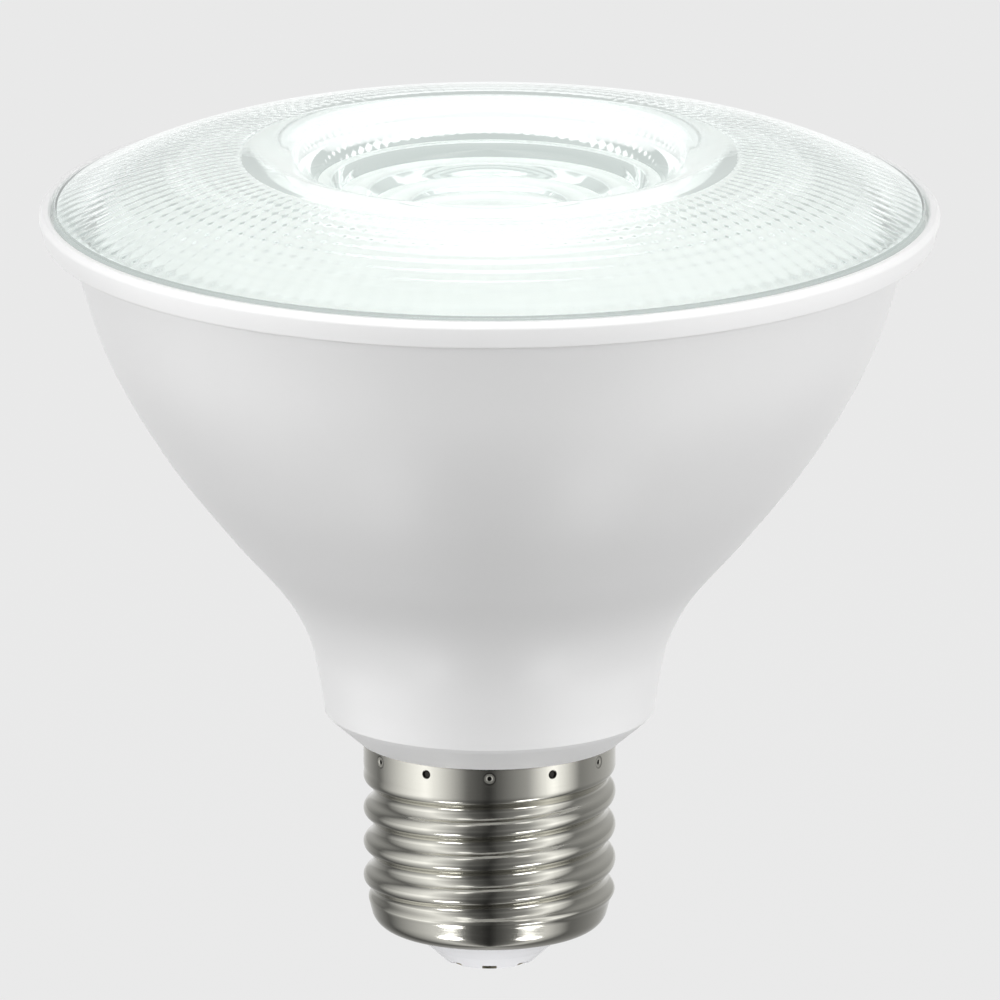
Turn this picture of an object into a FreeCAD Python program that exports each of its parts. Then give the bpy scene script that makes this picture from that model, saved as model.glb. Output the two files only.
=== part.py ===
import FreeCAD, Part
import Mesh
import math
import os

# Par spotlight bulb: a flared reflector lamp with a stepped front lens,
# a short neck and a rolled screw cap. Sizes are millimetres. The lamp's axis
# is Z, the centre contact's tip is the origin and the lens faces +Z.

# Screw cap
cap_length = 24.7
thread_crest_radius = 13.2
thread_depth = 1.0
thread_pitch = 3.629
thread_crest_drop = 6.0
thread_top_fade = 2.0
thread_foot_fade = 2.0
thread_foot_land = 0.5
cap_wall = 0.35
cap_foot_radius = 12.45
cap_foot_height = 4.2
cap_foot_rounding = 1.7
cap_hole_radius = 9.0
collar_height = 2.7
collar_land = 0.2
collar_bore_rise = 0.4
thread_columns = 48
thread_rows_per_pitch = 8
facet_inset = 0.02

# Crimp marks round the collar, ringed and plain by turns
crimp_count = 12
crimp_drop = 1.2
ringed_mark_radius = 0.65
ringed_pit_radius = 0.3
plain_mark_radius = 0.45
mark_depth = 0.22

# Insulator and centre contact
insulator_flange = 1.0
insulator_waist_radius = 6.2
insulator_waist_height = 2.0
insulator_tip_radius = 4.7
insulator_tip_height = 0.62
insulator_bore_radius = 3.5
lobe_count = 8
lobe_gap_width = 1.5
lobe_gap_height = 0.4
contact_radius = 4.0
contact_flat_radius = 2.2
contact_edge_height = 0.42
contact_thickness = 0.5

# Housing: neck, flared bowl and the spigot that the cap is crimped on
housing_wall = 1.8
neck_radius = 17.2
neck_chamfer_height = 2.5
neck_chamfer_foot_radius = 13.9
neck_edge_rounding = 0.4
bowl_height = 53.9
bowl_mouth_radius = 43.9
bowl_shares = [(0.113, 0.019), (0.200, 0.060), (0.291, 0.157), (0.421, 0.382), (0.583, 0.633),
               (0.774, 0.850)]
spigot_length = 12.7
spigot_wall = 1.4
spigot_clearance = 0.06
neck_bore_radius = 15.4
neck_floor_height = 2.5
neck_taper_height = 3.0

# Rails in the neck for the driver board, and bosses under the heat sink
rail_length = 15.0
rail_width = 4.4
rail_reach = 2.3
boss_count = 3
boss_radius = 3.0

# Retaining ring and lens
ring_overhang = 3.1
ring_draft = 0.6
ring_height = 2.9
ring_lip_width = 1.25
ring_ledge_width = 2.85
ring_ledge_height = 1.3
ring_skirt_depth = 3.2
ring_skirt_wall = 1.2
skirt_clearance = 0.15
lens_edge_gap = 0.4
lens_edge_thickness = 2.0
lens_edge_bevel = 0.6
lens_thickness = 2.4
lens_rise = 6.0
lens_crown_share = 0.551
lens_lip_share = 0.505
lens_lip_drop = 0.05
lens_shoulder_share = 0.794
lens_shoulder_rise = 3.7
dish_share = 0.4675
dish_drop = 0.6
dish_steps = [(0.925, 1.8), (0.844, 3.6), (0.736, 4.9), (0.575, 6.0), (0.396, 6.8)]
dish_bead_height = 0.3
prism_land = 0.4
prism_last_share = 0.917
prism_count = 11
prism_depth = 0.35

# Heat sink, lamp board and reflector
sink_floor_depth = 20.6
sink_sheet = 1.5
sink_clearance = 0.3
sink_rim_depth = 3.7
board_share = 0.615
board_edge_width = 2.6
board_thickness = 1.5
wire_hole_radius = 4.2
inner_chip_count = 6
inner_chip_share = 0.53
outer_chip_count = 12
outer_chip_gap = 0.323
chip_width = 3.0
chip_height = 0.7
reflector_foot_gap = 2.3
reflector_mouth_gap = 4.0
reflector_bend = (0.52, 0.48)
reflector_wall = 1.2
reflector_foot_wall = 1.56
reflector_gap = 0.4
screw_head_radius = 2.2
screw_head_height = 1.6
screw_radius = 1.0
screw_length = 9.0
screw_clearance = 0.3
screw_fit = 0.05
screw_tip_gap = 1.0

# Driver board and what is soldered on it
driver_thickness = 1.6
driver_face = 3.2
driver_half_width = 13.6
driver_top_height = 27.3
tongue_half_width = 8.6
tongue_length = 14.0
slot_clearance = 0.15
lead_radius = 0.6
lead_spacing = 3.0
lead_bend_radius = 1.5
lead_pad_reach = 7.0
thin_lead_radius = 0.4
touch_gap = 0.02
transformer_width = 14.0
transformer_height = 12.0
transformer_depth = 11.0
transformer_core_depth = 6.0
transformer_leg = 2.2
transformer_post = 4.0
transformer_top_gap = 0.8
can_radius = 4.4
can_rise = 3.6
can_top_gap = 0.5
can_bead_rise = 1.6
can_bead_half = 0.5
can_bead_depth = 0.4
output_can_radius = 3.6
output_can_gap = 0.5
output_can_rise = 2.5
output_can_x = -7.4
film_width = 9.4
film_depth = 5.0
film_top_gap = 1.0
film_x = 1.5
film_rounding = 0.8
inductor_radius = 3.2
inductor_waist = 2.7
inductor_flange = 1.0
inductor_height = 7.0
inductor_drop = 9.5
inductor_x = -10.3
bridge_size = (5.5, 1.7, 5.0)
bridge_x = -8.0
bridge_rise = 3.0
driver_chip_size = (5.0, 1.5, 4.0)
driver_chip_x = 1.5
driver_chip_rise = 4.0
varistor_radius = 4.2
varistor_thickness = 3.2
varistor_rise = 7.0
fuse_radius = 1.7
fuse_length = 9.0
fuse_x = -4.5
fuse_rise = 14.0
resistor_count = 6
resistor_pitch = 3.3
resistor_size = (2.0, 0.6, 1.25)
resistor_x = -9.0
resistor_rise = 19.0
output_lead_foot = 3.0
side_lead_inset = 1.5
side_lead_drop = 1.5
side_lead_bend = 1.2
tongue_lead_reach = 3.0
centre_lead_x = 0.8

# Heights that follow from the seats
neck_floor = cap_length + neck_floor_height
bowl_top = cap_length + bowl_height
thread_low = cap_foot_height + cap_foot_rounding + thread_foot_land
thread_high = cap_length - collar_height
thread_top_runout = thread_high - collar_land
thread_top_full = thread_top_runout - thread_top_fade
thread_crest_height = cap_length - thread_crest_drop
collar_bore_height = thread_high + collar_bore_rise
cap_bore_radius = thread_crest_radius - thread_depth - cap_wall
collar_bore_radius = thread_crest_radius - cap_wall
spigot_radius = cap_bore_radius - 4 * spigot_clearance
spigot_bottom = cap_length - spigot_length
ledge_top = bowl_top + ring_ledge_height
ring_top = bowl_top + ring_height
ring_radius = bowl_mouth_radius + ring_overhang
ring_foot_radius = ring_radius - ring_draft
ring_groove_radius = ring_radius - ring_lip_width
ring_ledge_radius = ring_groove_radius - ring_ledge_width
lens_edge_radius = ring_groove_radius - lens_edge_gap
lens_edge_top = ledge_top + lens_edge_thickness
lens_top = lens_edge_top + lens_rise
lens_crown_radius = lens_edge_radius * lens_crown_share
lens_lip_radius = lens_edge_radius * lens_lip_share
lens_shoulder_radius = lens_edge_radius * lens_shoulder_share
dish_radius = lens_edge_radius * dish_share
prism_first_radius = dish_radius + lens_thickness + prism_land
prism_pitch = (lens_edge_radius * prism_last_share - prism_first_radius) / prism_count
sink_floor = bowl_top - sink_floor_depth
sink_top = bowl_top - sink_rim_depth
board_top = sink_floor + board_thickness
board_radius = bowl_mouth_radius * board_share
boss_circle_radius = board_radius - board_edge_width
reflector_foot_radius = boss_circle_radius - screw_head_radius - reflector_foot_gap
reflector_mouth_radius = bowl_mouth_radius - reflector_mouth_gap
inner_chip_radius = reflector_foot_radius * inner_chip_share
reflector_foot_bore = reflector_foot_radius - reflector_foot_wall
outer_chip_radius = reflector_foot_bore - outer_chip_gap - chip_width / 2
driver_back = driver_face + driver_thickness
driver_top = cap_length + driver_top_height
tongue_bottom = neck_floor - tongue_length
transformer_low = driver_top - transformer_top_gap - transformer_height
full_turn = 360.0
quarter_bend = 1.0 - math.sqrt(0.5)
spare = 1.0
mesh_tolerance = 0.0001
up = FreeCAD.Vector(0, 0, 1)
origin = FreeCAD.Vector(0, 0, 0)


def section_point(radius, height):
    return FreeCAD.Vector(radius, 0, height)


def section_edges(start, moves):
    """Edges of a half section: a move is (r, z) for a line or (middle, end) for an arc."""
    edges = []
    here = section_point(*start)
    for move in moves:
        if isinstance(move[0], tuple):
            middle, end = (section_point(*place) for place in move)
            edges.append(Part.Arc(here, middle, end).toShape())
        else:
            end = section_point(*move)
            edges.append(Part.LineSegment(here, end).toShape())
        here = end
    return edges


def turned(start, moves, more_edges=()):
    """Solid turned about the lamp axis from a closed half section."""
    edges = section_edges(start, moves) + list(more_edges)
    face = Part.Face(Part.Wire(Part.__sortEdges__(edges)))
    return face.revolve(origin, up, full_turn)


def around(shape, count, first=0.0):
    """Copies of a shape spaced evenly about the lamp axis."""
    copies = []
    for index in range(count):
        copy = shape.copy()
        copy.rotate(origin, up, first + full_turn * index / count)
        copies.append(copy)
    return copies


def upright(radius, bottom, top, x=0.0, y=0.0):
    return Part.makeCylinder(radius, top - bottom, FreeCAD.Vector(x, y, bottom))


def block(x_low, x_high, y_low, y_high, z_low, z_high):
    corner = FreeCAD.Vector(x_low, y_low, z_low)
    return Part.makeBox(x_high - x_low, y_high - y_low, z_high - z_low, corner)


def smooth_step(value):
    value = min(max(value, 0.0), 1.0)
    return value * value * (3.0 - 2.0 * value)


def bowl_heights():
    """Heights of the bowl's outline stations, each with its share of the flare."""
    return [(cap_length + bowl_height * share, out) for share, out in bowl_shares]


def bowl_curve():
    """Smooth outer outline of the neck and bowl, from the neck's edge to the mouth."""
    stations = [(neck_radius, cap_length + neck_chamfer_height + neck_edge_rounding)]
    flare = bowl_mouth_radius - neck_radius
    stations += [(neck_radius + flare * out, height) for height, out in bowl_heights()]
    stations.append((bowl_mouth_radius, bowl_top))
    curve = Part.BSplineCurve()
    curve.interpolate([section_point(*station) for station in stations])
    return curve


def inner_outline():
    """Inside of the bowl, one wall in from the outer outline, as (radius, height)."""
    curve = bowl_curve()
    heights = [height for height, out in bowl_heights()[1:]]
    points = []
    for height in heights:
        low = curve.FirstParameter
        high = curve.LastParameter
        for step in range(50):
            middle = (low + high) / 2
            if curve.value(middle).z < height:
                low = middle
            else:
                high = middle
        along = curve.tangent(low)[0]
        place = curve.value(low)
        points.append((place.x - housing_wall * along.z, place.z + housing_wall * along.x))
    mouth = curve.tangent(curve.LastParameter)[0]
    mouth_radius = bowl_mouth_radius - housing_wall / mouth.z
    return points + [(mouth_radius, bowl_top)]


def radius_at(outline, height):
    """Radius of a straight-sided outline at one height."""
    for (low_r, low_z), (high_r, high_z) in zip(outline, outline[1:]):
        if height <= high_z:
            break
    share = (height - low_z) / (high_z - low_z)
    return low_r + share * (high_r - low_r)


def outline_between(outline, low, high, inset):
    """The stretch of an outline between two heights, moved inward."""
    stretch = [(radius_at(outline, low) - inset, low)]
    stretch += [(radius - inset, height) for radius, height in outline if low < height < high]
    stretch.append((radius_at(outline, high) - inset, high))
    return stretch


def thread_wave(offset):
    """Knuckle section from 1 on the crest to 0 in the root, made of equal tangent arcs."""
    reach = thread_pitch / 2
    slope = math.atan2(thread_depth, reach)
    knuckle = math.hypot(reach, thread_depth) / 2 / (2 * math.sin(slope))
    offset = abs(offset)
    if offset < reach / 2:
        drop = knuckle - math.sqrt(knuckle ** 2 - offset ** 2)
        return 1.0 - drop / thread_depth
    rise = knuckle - math.sqrt(knuckle ** 2 - (reach - offset) ** 2)
    return rise / thread_depth


def thread_radius(turn, height):
    """Outer radius of the rolled shell at a share of a turn and a height."""
    climb = (height - thread_crest_height) / thread_pitch - turn
    offset = (climb - round(climb)) * thread_pitch
    depth = thread_depth * (1.0 - thread_wave(offset))
    top = smooth_step((thread_top_runout - height) / thread_top_fade)
    foot = smooth_step((height - thread_low) / thread_foot_fade)
    threaded = thread_crest_radius - depth * top
    return cap_foot_radius + foot * (threaded - cap_foot_radius)


def thread_barrel():
    """Threaded stretch of the shell's outside, as flat facets on the wave's formula."""
    rows = math.ceil((thread_high - thread_low) / thread_pitch * thread_rows_per_pitch)
    row_height = (thread_high - thread_low) / rows

    def place(row, column):
        turn = (column % thread_columns + 0.5) / thread_columns
        height = thread_low + row_height * row
        radius = thread_radius(turn, height) - facet_inset
        angle = 2 * math.pi * turn
        return FreeCAD.Vector(radius * math.cos(angle), radius * math.sin(angle), height)

    facets = []
    bottom = FreeCAD.Vector(0, 0, thread_low)
    top = FreeCAD.Vector(0, 0, thread_high)
    for column in range(thread_columns):
        for row in range(rows):
            left_low, right_low = place(row, column), place(row, column + 1)
            left_high, right_high = place(row + 1, column), place(row + 1, column + 1)
            facets.append((left_low, right_low, right_high))
            facets.append((left_low, right_high, left_high))
        facets.append((bottom, place(0, column + 1), place(0, column)))
        facets.append((top, place(rows, column), place(rows, column + 1)))
    skin = Part.Shape()
    skin.makeShapeFromMesh(Mesh.Mesh(facets).Topology, mesh_tolerance)
    return Part.Solid(skin).removeSplitter()


def make_cap_shell():
    """Thin rolled shell: rounded foot, right-hand knuckle thread and crimped collar."""
    bend = cap_foot_rounding * quarter_bend
    foot = turned((0.0, cap_foot_height), [
        (cap_foot_radius - cap_foot_rounding, cap_foot_height),
        ((cap_foot_radius - bend, cap_foot_height + bend),
         (cap_foot_radius, cap_foot_height + cap_foot_rounding)),
        (cap_foot_radius, thread_low),
        (0.0, thread_low),
        (0.0, cap_foot_height),
    ])
    bore = cap_bore()
    collar = upright(thread_crest_radius, thread_high, cap_length).cut(bore)
    collar = collar.cut(Part.Compound(crimp_marks()))
    return thread_barrel().cut(bore).fuse([foot.cut(bore), collar])


def cap_bore():
    """Inside of the cap: the hole in its foot, the straight bore and the wider collar."""
    bore = cap_bore_radius
    floor = cap_foot_height + cap_wall
    corner = floor + cap_foot_rounding
    bend = cap_foot_rounding * quarter_bend
    return turned((0.0, cap_foot_height - spare), [
        (cap_hole_radius, cap_foot_height - spare),
        (cap_hole_radius, floor),
        (bore - cap_foot_rounding, floor),
        ((bore - bend, floor + bend), (bore, corner)),
        (bore, thread_top_full),
        (collar_bore_radius, collar_bore_height),
        (collar_bore_radius, cap_length + spare),
        (0.0, cap_length + spare),
        (0.0, cap_foot_height - spare),
    ])


def crimp_marks():
    """Tapered punch marks in the collar; every second one is wide with a pit in it."""
    outward = FreeCAD.Vector(0, -1, 0)
    height = cap_length - crimp_drop
    start = FreeCAD.Vector(0, mark_depth - thread_crest_radius, height)
    over = 0.1

    def punch(tip_radius, mouth_radius, depth):
        place = FreeCAD.Vector(0, depth - thread_crest_radius, height)
        taper = (mouth_radius - tip_radius) / depth
        return Part.makeCone(tip_radius, mouth_radius + taper * over, depth + over, place, outward)

    dish_depth = mark_depth * 0.6
    ringed = punch(ringed_pit_radius, ringed_mark_radius, dish_depth)
    pit = Part.makeCylinder(ringed_pit_radius, mark_depth, start, outward)
    plain = punch(plain_mark_radius * 0.6, plain_mark_radius, mark_depth)
    pair_angle = full_turn / crimp_count
    wide = around(ringed.fuse(pit), crimp_count // 2)
    return wide + around(plain, crimp_count // 2, pair_angle)


def make_cap_insulator():
    """Tapered insulating disc with a scalloped lip round the centre contact."""
    flange_bottom = cap_foot_height + cap_wall
    flange_top = flange_bottom + insulator_flange
    flange_radius = cap_bore_radius - cap_foot_rounding - spigot_clearance
    neck = cap_hole_radius - 2 * spigot_clearance
    recess = contact_radius + spigot_clearance
    recess_top = contact_edge_height + contact_thickness
    disc = turned((insulator_bore_radius, recess_top), [
        (insulator_bore_radius, flange_top),
        (flange_radius, flange_top),
        (flange_radius, flange_bottom),
        (neck, flange_bottom),
        (neck, cap_foot_height),
        (insulator_waist_radius, insulator_waist_height),
        (insulator_tip_radius, insulator_tip_height),
        (recess, insulator_tip_height),
        (recess, recess_top),
        (insulator_bore_radius, recess_top),
    ])
    half = lobe_gap_width / 2
    low = insulator_tip_height - lobe_gap_height
    notch = block(-half, half, -insulator_waist_radius, -contact_radius + half, low,
                  insulator_tip_height + lobe_gap_height)
    lip = upright(insulator_waist_radius, low, insulator_tip_height + lobe_gap_height)
    lip = lip.cut(upright(recess, low, insulator_tip_height + lobe_gap_height))
    return disc.cut(Part.Compound([gap.common(lip) for gap in around(notch, lobe_count)]))


def make_centre_contact():
    """Domed contact disc pressed into the insulator's recess."""
    edge_top = contact_edge_height + contact_thickness
    middle = (contact_flat_radius + contact_radius) / 2
    dome = contact_edge_height * 0.45
    return turned((0.0, 0.0), [
        (contact_flat_radius, 0.0),
        ((middle, dome), (contact_radius, contact_edge_height)),
        (contact_radius, edge_top),
        (0.0, edge_top),
        (0.0, 0.0),
    ])


def make_housing():
    """Hollow white body in one moulding: crimp spigot, neck, bowl, rails and bosses."""
    collar_fit = collar_bore_radius - spigot_clearance
    bore = spigot_radius - spigot_wall
    edge_low = cap_length + neck_chamfer_height
    edge_high = edge_low + neck_edge_rounding
    inside = inner_outline()
    step_top = collar_bore_height + 4 * spigot_clearance
    moves = [
        (spigot_radius, spigot_bottom),
        (spigot_radius, thread_top_full),
        (collar_fit, step_top),
        (collar_fit, cap_length),
        (neck_chamfer_foot_radius, cap_length),
        (neck_radius - neck_edge_rounding, edge_low),
    ]
    bend = neck_edge_rounding * quarter_bend
    corner = (neck_radius - bend, edge_low + bend)
    moves.append((corner, (neck_radius, edge_high)))
    outer = section_edges((bore, spigot_bottom), moves)
    outer.append(bowl_curve().toShape())
    inner_moves = list(reversed(inside))
    inner_moves += [(neck_bore_radius, inside[0][1] - neck_taper_height), (neck_bore_radius, neck_floor)]
    inner_moves += [(bore, neck_floor), (bore, spigot_bottom)]
    inner = section_edges((bowl_mouth_radius, bowl_top), inner_moves)
    body = turned((bore, spigot_bottom), [], outer + inner)
    return body.fuse(rails() + bosses()).removeSplitter()


def bowl_filler():
    """Space inside the middle of the bowl's wall, which trims what stands on the wall."""
    inside = inner_outline()
    half = housing_wall / 2
    moves = [(neck_bore_radius + half, neck_floor)]
    moves += [(neck_bore_radius + half, inside[0][1] - neck_taper_height)]
    moves += [(radius + half, height) for radius, height in inside]
    moves += [(0.0, bowl_top), (0.0, neck_floor)]
    return turned((0.0, neck_floor), moves)


def rails():
    """Two grooved rails that hold the edges of the driver board."""
    middle = (driver_face + driver_back) / 2
    inner = driver_half_width - rail_reach
    edge = driver_half_width + slot_clearance
    top = neck_floor + rail_length
    strip = block(inner, neck_radius, middle - rail_width / 2, middle + rail_width / 2,
                  neck_floor, top)
    slot = block(inner - spare, edge, driver_face - slot_clearance, driver_back + slot_clearance,
                 neck_floor, top + spare)
    right = strip.cut(slot).common(bowl_filler())
    left = right.mirror(origin, FreeCAD.Vector(1, 0, 0))
    return [right, left]


def bosses():
    """Screw bosses that stand on the bowl's wall and carry the heat sink's floor."""
    top = sink_floor - sink_sheet
    solid = upright(boss_radius, neck_floor, top, boss_circle_radius)
    hole = upright(screw_radius + screw_fit, top - screw_length, top, boss_circle_radius)
    return around(solid.cut(hole).common(bowl_filler()), boss_count, full_turn / 4)


def make_heat_sink():
    """Pressed aluminium cup that lines the bowl and carries the lamp board."""
    floor_bottom = sink_floor - sink_sheet
    outer = outline_between(inner_outline(), floor_bottom, sink_top, sink_clearance)
    inner = outline_between(inner_outline(), sink_floor, sink_top, sink_clearance + sink_sheet)
    moves = outer + list(reversed(inner)) + [(0.0, sink_floor), (0.0, floor_bottom)]
    cup = turned((0.0, floor_bottom), moves)
    return cup.cut(Part.Compound(floor_holes(floor_bottom, sink_floor)))


def floor_holes(low, high):
    """Central wire hole and screw holes between two heights."""
    clear = screw_radius + screw_clearance
    screws = around(upright(clear, low, high, boss_circle_radius), boss_count, full_turn / 4)
    return [upright(wire_hole_radius, low, high)] + screws


def make_lamp_board():
    disc = upright(board_radius, sink_floor, board_top)
    return disc.cut(Part.Compound(floor_holes(sink_floor, board_top)))


def make_lamp_chips():
    """Two rings of surface-mounted light chips."""
    half = chip_width / 2
    chips = []
    top = board_top + chip_height
    for count, radius in ((inner_chip_count, inner_chip_radius),
                          (outer_chip_count, outer_chip_radius)):
        chip = block(radius - half, radius + half, -half, half, board_top, top)
        chips += around(chip, count)
    return Part.Compound(chips)


def make_board_screws():
    """Pan-head screws through the lamp board and the heat sink into the bosses."""
    head_top = board_top + screw_head_height
    shank_bottom = sink_floor - sink_sheet - screw_length + screw_tip_gap
    crown = screw_head_radius * 0.7
    screw = turned((0.0, shank_bottom), [
        (screw_radius, shank_bottom),
        (screw_radius, board_top),
        (screw_head_radius, board_top),
        (screw_head_radius, board_top + screw_head_height * 0.5),
        (crown, head_top),
        (0.0, head_top),
        (0.0, shank_bottom),
    ])
    screw.translate(FreeCAD.Vector(boss_circle_radius, 0, 0))
    return Part.Compound(around(screw, boss_count, full_turn / 4))


def make_reflector():
    """White flared reflector from the lamp board to the retaining ring."""
    mouth_height = bowl_top - reflector_gap
    out_share, up_share = reflector_bend
    bend_radius = reflector_foot_radius + out_share * (reflector_mouth_radius - reflector_foot_radius)
    bend_height = board_top + up_share * (mouth_height - board_top)
    wall = reflector_wall
    return turned((reflector_foot_radius, board_top), [
        ((bend_radius, bend_height), (reflector_mouth_radius, mouth_height)),
        (reflector_mouth_radius - wall, mouth_height),
        ((bend_radius - wall * 0.7, bend_height + wall * 0.8),
         (reflector_foot_bore, board_top)),
        (reflector_foot_radius, board_top),
    ])


def make_retaining_ring():
    """White ring with a ledge for the lens and a skirt pushed into the bowl's mouth."""
    inside = inner_outline()
    skirt_bottom = bowl_top - ring_skirt_depth
    skirt_outer = radius_at(inside, bowl_top) - skirt_clearance
    skirt_foot = radius_at(inside, skirt_bottom) - skirt_clearance
    rounding = (ring_radius - ring_groove_radius) / 2
    bend = rounding * quarter_bend
    lip = ring_groove_radius + rounding
    return turned((skirt_foot, skirt_bottom), [
        (skirt_outer, bowl_top),
        (ring_foot_radius, bowl_top),
        (ring_radius, ring_top - rounding),
        ((ring_radius - bend, ring_top - bend), (lip, ring_top)),
        (ring_groove_radius, ring_top - bend),
        (ring_groove_radius, ledge_top),
        (ring_ledge_radius, ledge_top),
        (skirt_outer - ring_skirt_wall, bowl_top),
        (skirt_foot - ring_skirt_wall, skirt_bottom),
        (skirt_foot, skirt_bottom),
    ])


def dish_moves(rim_height):
    """Beaded steps from the dish's rim down to its flat floor."""
    moves = []
    outer_radius, outer_height = dish_radius, rim_height
    for share, depth in dish_steps:
        radius = dish_radius * share
        height = lens_top - depth
        run = math.hypot(outer_radius - radius, outer_height - height)
        lift = dish_bead_height * run / 4
        bulge_radius = (radius + outer_radius) / 2 - lift * (outer_height - height) / run
        bulge_height = (height + outer_height) / 2 + lift * (outer_radius - radius) / run
        moves.append(((bulge_radius, bulge_height), (radius, height)))
        outer_radius, outer_height = radius, height
    return moves + [(0.0, outer_height), (0.0, outer_height - lens_thickness)]


def dome_height(radius):
    """Height of the lens's outer dome, the arc through its edge, shoulder and crown."""
    circle = Part.Circle(*(section_point(*place) for place in dome_places()))
    centre = circle.Center
    return centre.z + math.sqrt(circle.Radius ** 2 - (radius - centre.x) ** 2)


def dome_places():
    edge = (lens_edge_radius - lens_edge_bevel, lens_edge_top + lens_edge_bevel / 2)
    shoulder = (lens_shoulder_radius, lens_edge_top + lens_shoulder_rise)
    return [edge, shoulder, (lens_crown_radius, lens_top)]


def prism_moves():
    """Ring prisms on the lens's inside, one wall under the dome, from the dish outward."""
    moves = []
    for index in range(prism_count):
        for share, depth in ((0.0, 0.0), (0.5, prism_depth)):
            radius = prism_first_radius + (index + share) * prism_pitch
            moves.append((radius, dome_height(radius) - lens_thickness - depth))
    radius = prism_first_radius + prism_count * prism_pitch
    return moves + [(radius, dome_height(radius) - lens_thickness)]


def make_lens():
    """Clear front lens: domed outer zone, sunken stepped dish and ring prisms inside."""
    rim_height = lens_top - dish_drop
    edge, shoulder, crown = dome_places()
    floor_share, floor_depth = dish_steps[-1]
    seat_radius = ring_ledge_radius + lens_edge_gap
    moves = [
        (lens_edge_radius, lens_edge_top - lens_edge_bevel / 2),
        edge,
        (shoulder, crown),
        ((lens_lip_radius, lens_top - lens_lip_drop), (dish_radius, rim_height)),
    ]
    moves += dish_moves(rim_height)
    floor_radius = dish_radius * floor_share
    moves.append((floor_radius + lens_thickness, lens_top - floor_depth - lens_thickness))
    moves += prism_moves()
    moves += [(seat_radius, ledge_top), (lens_edge_radius, ledge_top)]
    return turned((lens_edge_radius, ledge_top), moves)


def make_driver_board():
    """Driver board: a wide part in the neck and a tongue that reaches into the cap."""
    wide = block(-driver_half_width, driver_half_width, driver_face, driver_back,
                 neck_floor, driver_top)
    tongue = block(-tongue_half_width, tongue_half_width, driver_face, driver_back,
                   tongue_bottom, neck_floor)
    return wide.fuse(tongue).removeSplitter()


def bent_wire(points, radius, bend):
    """Round wire along straight runs joined by tangent arcs."""
    corners = [FreeCAD.Vector(*place) for place in points]
    edges = []
    here = corners[0]
    for before, corner, after in zip(corners, corners[1:], corners[2:]):
        arriving = (corner - before).normalize()
        leaving = (after - corner).normalize()
        half_turn = arriving.getAngle(leaving) / 2
        back = bend * math.tan(half_turn)
        start = corner - arriving * back
        end = corner + leaving * back
        inward = (leaving - arriving).normalize()
        middle = corner + inward * (bend / math.cos(half_turn) - bend)
        edges.append(Part.LineSegment(here, start).toShape())
        edges.append(Part.Arc(start, middle, end).toShape())
        here = end
    edges.append(Part.LineSegment(here, corners[-1]).toShape())
    path = Part.Wire(edges)
    direction = corners[1] - corners[0]
    section = Part.Wire([Part.makeCircle(radius, corners[0], direction)])
    wire = path.makePipeShell([section], True, False)
    expected = math.pi * radius ** 2 * path.Length
    print("wire length", round(path.Length, 2), "volume ratio", round(wire.Volume / expected, 4))
    return wire


def make_output_lead(side):
    """Lead from the driver board up through the wire hole to a pad on the lamp board."""
    x = side * lead_spacing / 2
    y = driver_face - lead_radius - touch_gap
    height = board_top + lead_radius + touch_gap
    foot = driver_top - output_lead_foot
    points = [(x, y, foot), (x, y, height), (side * lead_pad_reach, y, height)]
    return bent_wire(points, lead_radius, lead_bend_radius)


def make_side_contact_lead():
    """Lead from the tongue round the spigot's end to the cap's wall."""
    y = driver_face - thin_lead_radius - touch_gap
    x = side_lead_inset - tongue_half_width
    drop = spigot_bottom - side_lead_drop
    reach = math.sqrt(cap_bore_radius ** 2 - (y + thin_lead_radius) ** 2) - touch_gap
    points = [(x, y, tongue_bottom + tongue_lead_reach), (x, y, drop), (-reach, y, drop)]
    return bent_wire(points, thin_lead_radius, side_lead_bend)


def make_centre_contact_lead():
    """Straight lead from the tongue to the centre contact."""
    y = driver_face - thin_lead_radius - touch_gap
    foot = contact_edge_height + contact_thickness
    top = tongue_bottom + tongue_lead_reach
    return upright(thin_lead_radius, foot, top, centre_lead_x, y)


def front_part(size, x, bottom):
    """Block of width, depth and height standing on the front of the driver board."""
    width, depth, height = size
    return block(x, x + width, driver_face - depth, driver_face, bottom, bottom + height)


def back_part(size, x, bottom):
    """Block of width, depth and height standing on the back of the driver board."""
    width, depth, height = size
    return block(x, x + width, driver_back, driver_back + depth, bottom, bottom + height)


def make_input_capacitor():
    """Electrolytic capacitor in the cap, with its rolled bead near the leads."""
    low = tongue_bottom + can_rise
    high = neck_floor - can_top_gap
    bead = low + can_bead_rise
    can = turned((0.0, low), [
        (can_radius, low),
        (can_radius, bead - can_bead_half),
        (can_radius - can_bead_depth, bead),
        (can_radius, bead + can_bead_half),
        (can_radius, high),
        (0.0, high),
        (0.0, low),
    ])
    can.translate(FreeCAD.Vector(0, driver_face - can_radius - touch_gap, 0))
    return can


def make_output_capacitor():
    low = neck_floor + output_can_rise
    high = transformer_low - output_can_gap
    y = driver_face - output_can_radius - touch_gap
    return upright(output_can_radius, low, high, output_can_x, y)


def make_transformer_core():
    """Pair of E cores: two legs and two yokes round a centre post."""
    middle = driver_face - transformer_depth / 2
    half_depth = transformer_core_depth / 2
    half_width = transformer_width / 2
    low = transformer_low
    high = low + transformer_height
    core = block(-half_width, half_width, middle - half_depth, middle + half_depth, low, high)
    window = block(transformer_post / 2, half_width - transformer_leg, middle - half_depth,
                   middle + half_depth, low + transformer_leg, high - transformer_leg)
    other = window.mirror(origin, FreeCAD.Vector(1, 0, 0))
    return core.cut(Part.Compound([window, other]))


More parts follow.
